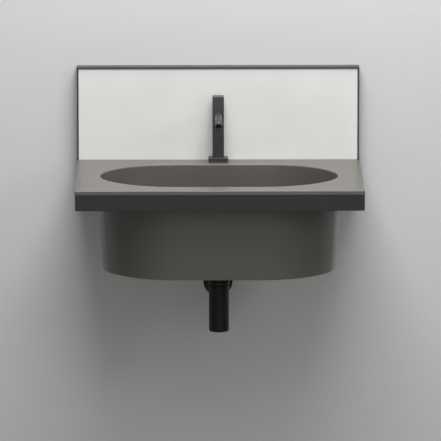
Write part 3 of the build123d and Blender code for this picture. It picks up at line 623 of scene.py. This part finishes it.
def makeTap():
    size = tapSizes
    low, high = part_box("tap_base")
    middle = (low.y + high.y) / 2
    bm = tapPlate("tap_base", size["baseCorner"], size["baseEdge"])
    drill(bm, (0, middle, high.z), (0, 0, -1), size["shankRadius"], high.z - low.z, through=True)
    standFor("tap_base", bm)

    low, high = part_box("tap_column")
    bm = tapPlate("tap_column", size["columnCorner"], size["columnEdge"])
    drill(bm, (0, middle, high.z), (0, 0, -1), size["chamberRadius"], size["chamberDepth"])
    drill(bm, (0, middle, low.z), (0, 0, 1), size["shankRadius"], size["shankSocket"])
    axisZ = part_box("tap_spout")[1].z - size["spoutRadius"]
    drill(bm, (0, low.y, axisZ), (0, 1, 0), size["spoutRadius"], size["spoutSocket"])
    standFor("tap_column", bm)

    low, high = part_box("tap_handle")
    bm = tapPlate("tap_handle", size["handleCorner"], size["handleEdge"])
    half = (high.y - low.y) / 2
    rise = half * tan(radians(size["relief"])) + size["reliefGap"]
    normal = Vector((0, rise, -half)).normalized()
    whole = bm.verts[:] + bm.edges[:] + bm.faces[:]
    bmesh.ops.bisect_plane(bm, geom=whole, plane_co=(0, middle, low.z), plane_no=normal, clear_outer=True)
    bmesh.ops.edgeloop_fill(bm, edges=[edge for edge in bm.edges if len(edge.link_faces) == 1])
    screwZ = sum(point.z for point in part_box("handle_screw")) / 2
    drill(bm, (0, high.y, screwZ), (0, -1, 0), size["screwRadius"], size["screwDepth"], steps=24)
    standFor("tap_handle", bm)

    low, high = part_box("tap_spout")
    bm = bmesh.new()
    radius = size["spoutRadius"]
    turn = radians(size["spoutTurn"])
    tip = size["spoutTip"]
    bendY = low.y + tip * cos(turn) + (size["spoutBend"] + radius) * sin(turn)
    verts = bmesh.ops.create_circle(bm, segments=64, radius=radius)["verts"]
    bmesh.ops.rotate(bm, verts=verts, cent=(0, 0, 0), matrix=Matrix.Rotation(pi / 2, 3, "X"))
    bmesh.ops.translate(bm, verts=verts, vec=(0, high.y, axisZ))
    first = list({edge for vert in verts for edge in vert.link_edges})

    def drawOut(edges, move):
        grown = bmesh.ops.extrude_edge_only(bm, edges=edges)["geom"]
        bmesh.ops.translate(bm, verts=[item for item in grown if isinstance(item, bmesh.types.BMVert)], vec=move)
        return [item for item in grown if isinstance(item, bmesh.types.BMEdge)]

    def narrow(edges, scale):
        grown = bmesh.ops.extrude_edge_only(bm, edges=edges)["geom"]
        moved = [item for item in grown if isinstance(item, bmesh.types.BMVert)]
        centre = sum((vert.co for vert in moved), Vector()) / len(moved)
        bmesh.ops.scale(bm, verts=moved, vec=(scale, scale, scale), space=Matrix.Translation(-centre))
        return [item for item in grown if isinstance(item, bmesh.types.BMEdge)]

    def turnRound(edges, angle):
        turned = bmesh.ops.spin(
            bm, geom=edges + list({vert for edge in edges for vert in edge.verts}),
            cent=(0, bendY, axisZ - size["spoutBend"]), axis=(1, 0, 0), angle=angle, steps=10,
        )["geom_last"]
        return [item for item in turned if isinstance(item, bmesh.types.BMEdge)]

    out = Vector((0, -cos(turn), -sin(turn)))
    run = Vector((0, bendY - high.y, 0))
    mouth = drawOut(turnRound(drawOut(first, run), turn), out * tip)
    bore = narrow(mouth, size["boreRadius"] / radius)
    last = drawOut(turnRound(drawOut(bore, -out * tip), -turn), -run)
    bmesh.ops.bridge_loops(bm, edges=first + last)
    bmesh.ops.recalc_face_normals(bm, faces=bm.faces[:])
    roundEdges(bm, size["mouthEdge"], segments=3, skip=lambda item: item.verts[0].co.y > bendY)
    standFor("tap_spout", bm)


makeTap()
print("tap made")

trapSizes = {
    "wall": 0.0035,
    "neckRadius": 0.024,
    "sleeveRadius": 0.0162,
    "shoulderEdge": 0.0012,
    "footRadius": 0.004,
    "bossRadius": 0.0185,
    "spigot": 0.01,
    "nutEdge": 0.0007,
    "nutLip": 0.0025,
    "rosetteWall": 0.0015,
    "rosetteSlope": 0.005,
    "rosetteEdge": 0.0006,
}


def makeTrap():
    size = trapSizes
    wall, sleeve = size["wall"], size["sleeveRadius"]
    centreY = -basinSizes["setback"]

    low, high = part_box("trap_cup")
    radius = high.x
    joint = high.z - size["spigot"]
    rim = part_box("trap_cup_seal")[0].z
    bm = bmesh.new()
    inner = radius - wall
    lathe(bm, [
        (0, low.z), (radius, low.z), (radius, rim), (inner, rim), (inner, high.z),
        (inner - wall, high.z), (inner - wall, low.z + wall), (0, low.z + wall),
    ], centreY, closed=False)
    foot = [edge for edge in bm.edges if all(abs(vert.co.z - low.z) < 0.0001 and hypot(vert.co.x, vert.co.y - centreY) > radius - 0.0001 for vert in edge.verts)]
    bmesh.ops.bevel(
        bm, geom=foot, offset=size["footRadius"], offset_type="OFFSET", affect="EDGES",
        segments=8, profile=0.5, material=-1, clamp_overlap=True,
    )
    roundEdges(bm, 0.0003, segments=2, leastTurn=60.0)
    standFor("trap_cup", bm)

    low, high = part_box("trap_body")
    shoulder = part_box("trap_collar_nut")[0].z - 0.0024
    bm = bmesh.new()
    lathe(bm, [
        (radius, joint), (radius, shoulder), (size["neckRadius"], shoulder), (size["neckRadius"], high.z),
        (sleeve, high.z), (sleeve, shoulder - wall), (inner, shoulder - wall), (inner, joint),
    ], centreY)
    roundEdges(bm, size["shoulderEdge"], segments=4, leastTurn=60.0)
    outletZ = (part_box("outlet_pipe")[0].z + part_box("outlet_pipe")[1].z) / 2
    boss = bmesh.new()
    lathe(boss, [(size["bossRadius"], 0.0), (size["bossRadius"], high.y - centreY - 0.02), (sleeve, high.y - centreY - 0.02), (sleeve, 0.0)], 0.0, 64)
    bmesh.ops.rotate(boss, verts=boss.verts[:], cent=(0, 0, 0), matrix=Matrix.Rotation(-pi / 2, 3, "X"))
    bmesh.ops.translate(boss, verts=boss.verts[:], vec=(0, centreY + 0.02, outletZ))
    bossMesh = bpy.data.meshes.new("boss")
    boss.to_mesh(bossMesh)
    boss.free()
    bm.from_mesh(bossMesh)
    bpy.data.meshes.remove(bossMesh)
    standFor("trap_body", bm)

    low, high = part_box("trap_collar_nut")
    bm = bmesh.new()
    lathe(bm, [
        (high.x, low.z), (high.x, high.z), (sleeve, high.z), (sleeve, high.z - size["nutLip"]),
        (size["neckRadius"], high.z - size["nutLip"]), (size["neckRadius"], low.z),
    ], centreY)
    roundEdges(bm, size["nutEdge"], segments=3, leastTurn=60.0)
    standFor("trap_collar_nut", bm)

    low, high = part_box("wall_rosette")
    depth, thin, slope = -low.y, size["rosetteWall"], size["rosetteSlope"]
    bm = bmesh.new()
    lathe(bm, [
        (high.x, 0), (high.x, thin), (sleeve + thin + slope, depth - slope), (sleeve + thin, depth),
        (sleeve, depth), (sleeve, depth - slope), (sleeve + thin, depth - slope), (high.x - 2 * thin, 0),
    ], 0.0)
    roundEdges(bm, size["rosetteEdge"], segments=3, leastTurn=20.0)
    bmesh.ops.rotate(bm, verts=bm.verts[:], cent=(0, 0, 0), matrix=Matrix.Rotation(pi / 2, 3, "X"))
    bmesh.ops.translate(bm, verts=bm.verts[:], vec=(0, 0, outletZ))
    standFor("wall_rosette", bm)


makeTrap()
print("trap made")

plugSizes = {
    "stemRadius": 0.003,
    "spigotRadius": 0.0144,
    "spigotDrop": 0.0024,
    "crown": 0.0018,
    "dome": 0.0006,
}


# The click plug: a shallow dome with a rolled edge.
def makePlug():
    size = plugSizes
    low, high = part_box("waste_plug")
    foot = low.z + size["spigotDrop"]
    bm = bmesh.new()
    lathe(bm, [
        (0, high.z), (high.x * 0.55, high.z - size["dome"] * 0.3), (high.x, high.z - size["dome"]),
        (high.x, foot), (size["spigotRadius"], foot), (size["spigotRadius"], low.z), (0, low.z),
    ], -basinSizes["setback"], closed=False)
    roundEdges(bm, size["crown"] / 1.5, segments=4, leastTurn=60.0)
    return standFor("waste_plug", bm)


makePlug()
print("waste made")

cameraView = {
    "target": (0.0, -0.25, -0.02825),
    "pitch": 10.27,
    "yaw": 0.59,
    "distance": 18.55,
    "pixels": 441,
    "focalPixels": 7093.5,
    "targetPixel": (218.9, 196.6),
    "sensor": 36.0,
}


# The photograph was taken from far away: the object's middle sits above and left of the picture's middle.
def makeCamera():
    view = cameraView
    data = bpy.data.cameras.new("camera")
    data.sensor_width = view["sensor"]
    data.lens = view["focalPixels"] / view["pixels"] * view["sensor"]
    data.clip_end = 100.0
    camera = bpy.data.objects.new("camera", data)
    bpy.context.scene.collection.objects.link(camera)

    def forward(yaw, pitch):
        return Vector((sin(yaw) * cos(pitch), cos(yaw) * cos(pitch), -sin(pitch)))

    yaw, pitch = radians(view["yaw"]), radians(view["pitch"])
    middle = view["pixels"] / 2
    camera.location = Vector(view["target"]) - forward(yaw, pitch) * view["distance"]
    yaw += (middle - view["targetPixel"][0]) / view["focalPixels"]
    pitch += (middle - view["targetPixel"][1]) / view["focalPixels"]
    camera.rotation_euler = forward(yaw, pitch).to_track_quat("-Z", "Y").to_euler()
    bpy.context.scene.camera = camera


makeCamera()

stageLook = {
    "wallColour": "#c9c9c9",
    "floorColour": "#bcbcba",
    "wallY": 0.0012,
    "floorZ": -1.6,
    "half": 3.0,
}


# The wall shows from the front only, and stops no light, so that the object's back can be looked at too.
def stageMaterial(name, colour):
    material, tree, bsdf, where = startMaterial(name, Roughness=0.9)
    paint = grainColour(tree, where, 0.4, colour, colour)
    tree.links.new(paint, bsdf.inputs["Base Color"])
    behind = addNode(tree, "ShaderNodeNewGeometry").outputs["Backfacing"]
    shadow = addNode(tree, "ShaderNodeLightPath").outputs["Is Shadow Ray"]
    either = addNode(tree, "ShaderNodeMath", {"operation": "MAXIMUM"}, {0: behind, 1: shadow})
    clear = addNode(tree, "ShaderNodeBsdfTransparent")
    mixed = addNode(tree, "ShaderNodeMixShader", links={0: either.outputs[0], 1: bsdf.outputs[0], 2: clear.outputs[0]})
    out = next(node for node in tree.nodes if node.type == "OUTPUT_MATERIAL")
    tree.links.new(mixed.outputs[0], out.inputs["Surface"])
    return material


def stagePlane(name, turn, shift, colour):
    bm = bmesh.new()
    bmesh.ops.create_grid(bm, x_segments=1, y_segments=1, size=stageLook["half"])
    bmesh.ops.transform(bm, matrix=Matrix.Translation(shift) @ Matrix.Rotation(turn, 4, "X"), verts=bm.verts[:])
    mesh = bpy.data.meshes.new(name)
    bm.to_mesh(mesh)
    bm.free()
    plane = bpy.data.objects.new(name, mesh)
    bpy.context.scene.collection.objects.link(plane)
    mesh.materials.append(stageMaterial(name + "Paint", colour))


stagePlane("backWall", pi / 2, (0, stageLook["wallY"], stageLook["half"] + stageLook["floorZ"]), stageLook["wallColour"])
stagePlane("floor", 0.0, (0, stageLook["wallY"] - stageLook["half"], stageLook["floorZ"]), stageLook["floorColour"])

lampLook = {
    "top": {"place": (0.1, -0.8, 2.4), "aim": (0.0, -0.25, 0.0), "size": 1.8, "power": 104.0},
    "far": {"place": (0.15, -2.6, 2.8), "aim": (0.0, -0.2, 0.0), "size": 1.9, "power": 18.0},
    "high": {"place": (0.2, -3.2, 3.0), "aim": (0.0, -0.1, 0.1), "size": 2.2, "power": 34.0},
    "right": {"place": (2.6, -2.6, 1.2), "aim": (0.0, -0.2, 0.0), "size": 1.0, "power": 15.0},
    "front": {"place": (0.0, -3.5, 0.6), "aim": (0.0, -0.2, 0.0), "size": 2.5, "power": 18.0},
    "back": {"place": (0.9, 2.6, -0.5), "aim": (0.0, 0.0, -0.1), "size": 2.0, "power": 45.0},
}
worldStrength = 0.16      # only seen, past the wall's edges, by the camera and in the coats


def makeLamp(name):
    look = lampLook[name]
    place = Vector(look["place"])
    data = bpy.data.lights.new(name, "AREA")
    data.size = look["size"]
    data.energy = look["power"]
    lamp = bpy.data.objects.new(name, data)
    bpy.context.scene.collection.objects.link(lamp)
    lamp.location = place
    lamp.rotation_euler = (Vector(look["aim"]) - place).to_track_quat("-Z", "Y").to_euler()
    lamp.visible_camera = False


for lampName in lampLook:
    makeLamp(lampName)
world = bpy.data.worlds.new("world")
bpy.context.scene.world = world
world.use_nodes = True
sky = world.node_tree.nodes["Background"]
sky.inputs["Color"].default_value = (1.0, 1.0, 1.0, 1.0)
rays = addNode(world.node_tree, "ShaderNodeLightPath").outputs
seen = rays["Is Camera Ray"]
for kind in ("Is Glossy Ray", "Is Transmission Ray"):
    seen = addNode(world.node_tree, "ShaderNodeMath", {"operation": "MAXIMUM"}, {0: seen, 1: rays[kind]}).outputs[0]
strength = addNode(world.node_tree, "ShaderNodeMath", {"operation": "MULTIPLY", 1: worldStrength}, {0: seen})
world.node_tree.links.new(strength.outputs[0], sky.inputs["Strength"])
bpy.context.scene.view_settings.view_transform = "Standard"
print("stage made")
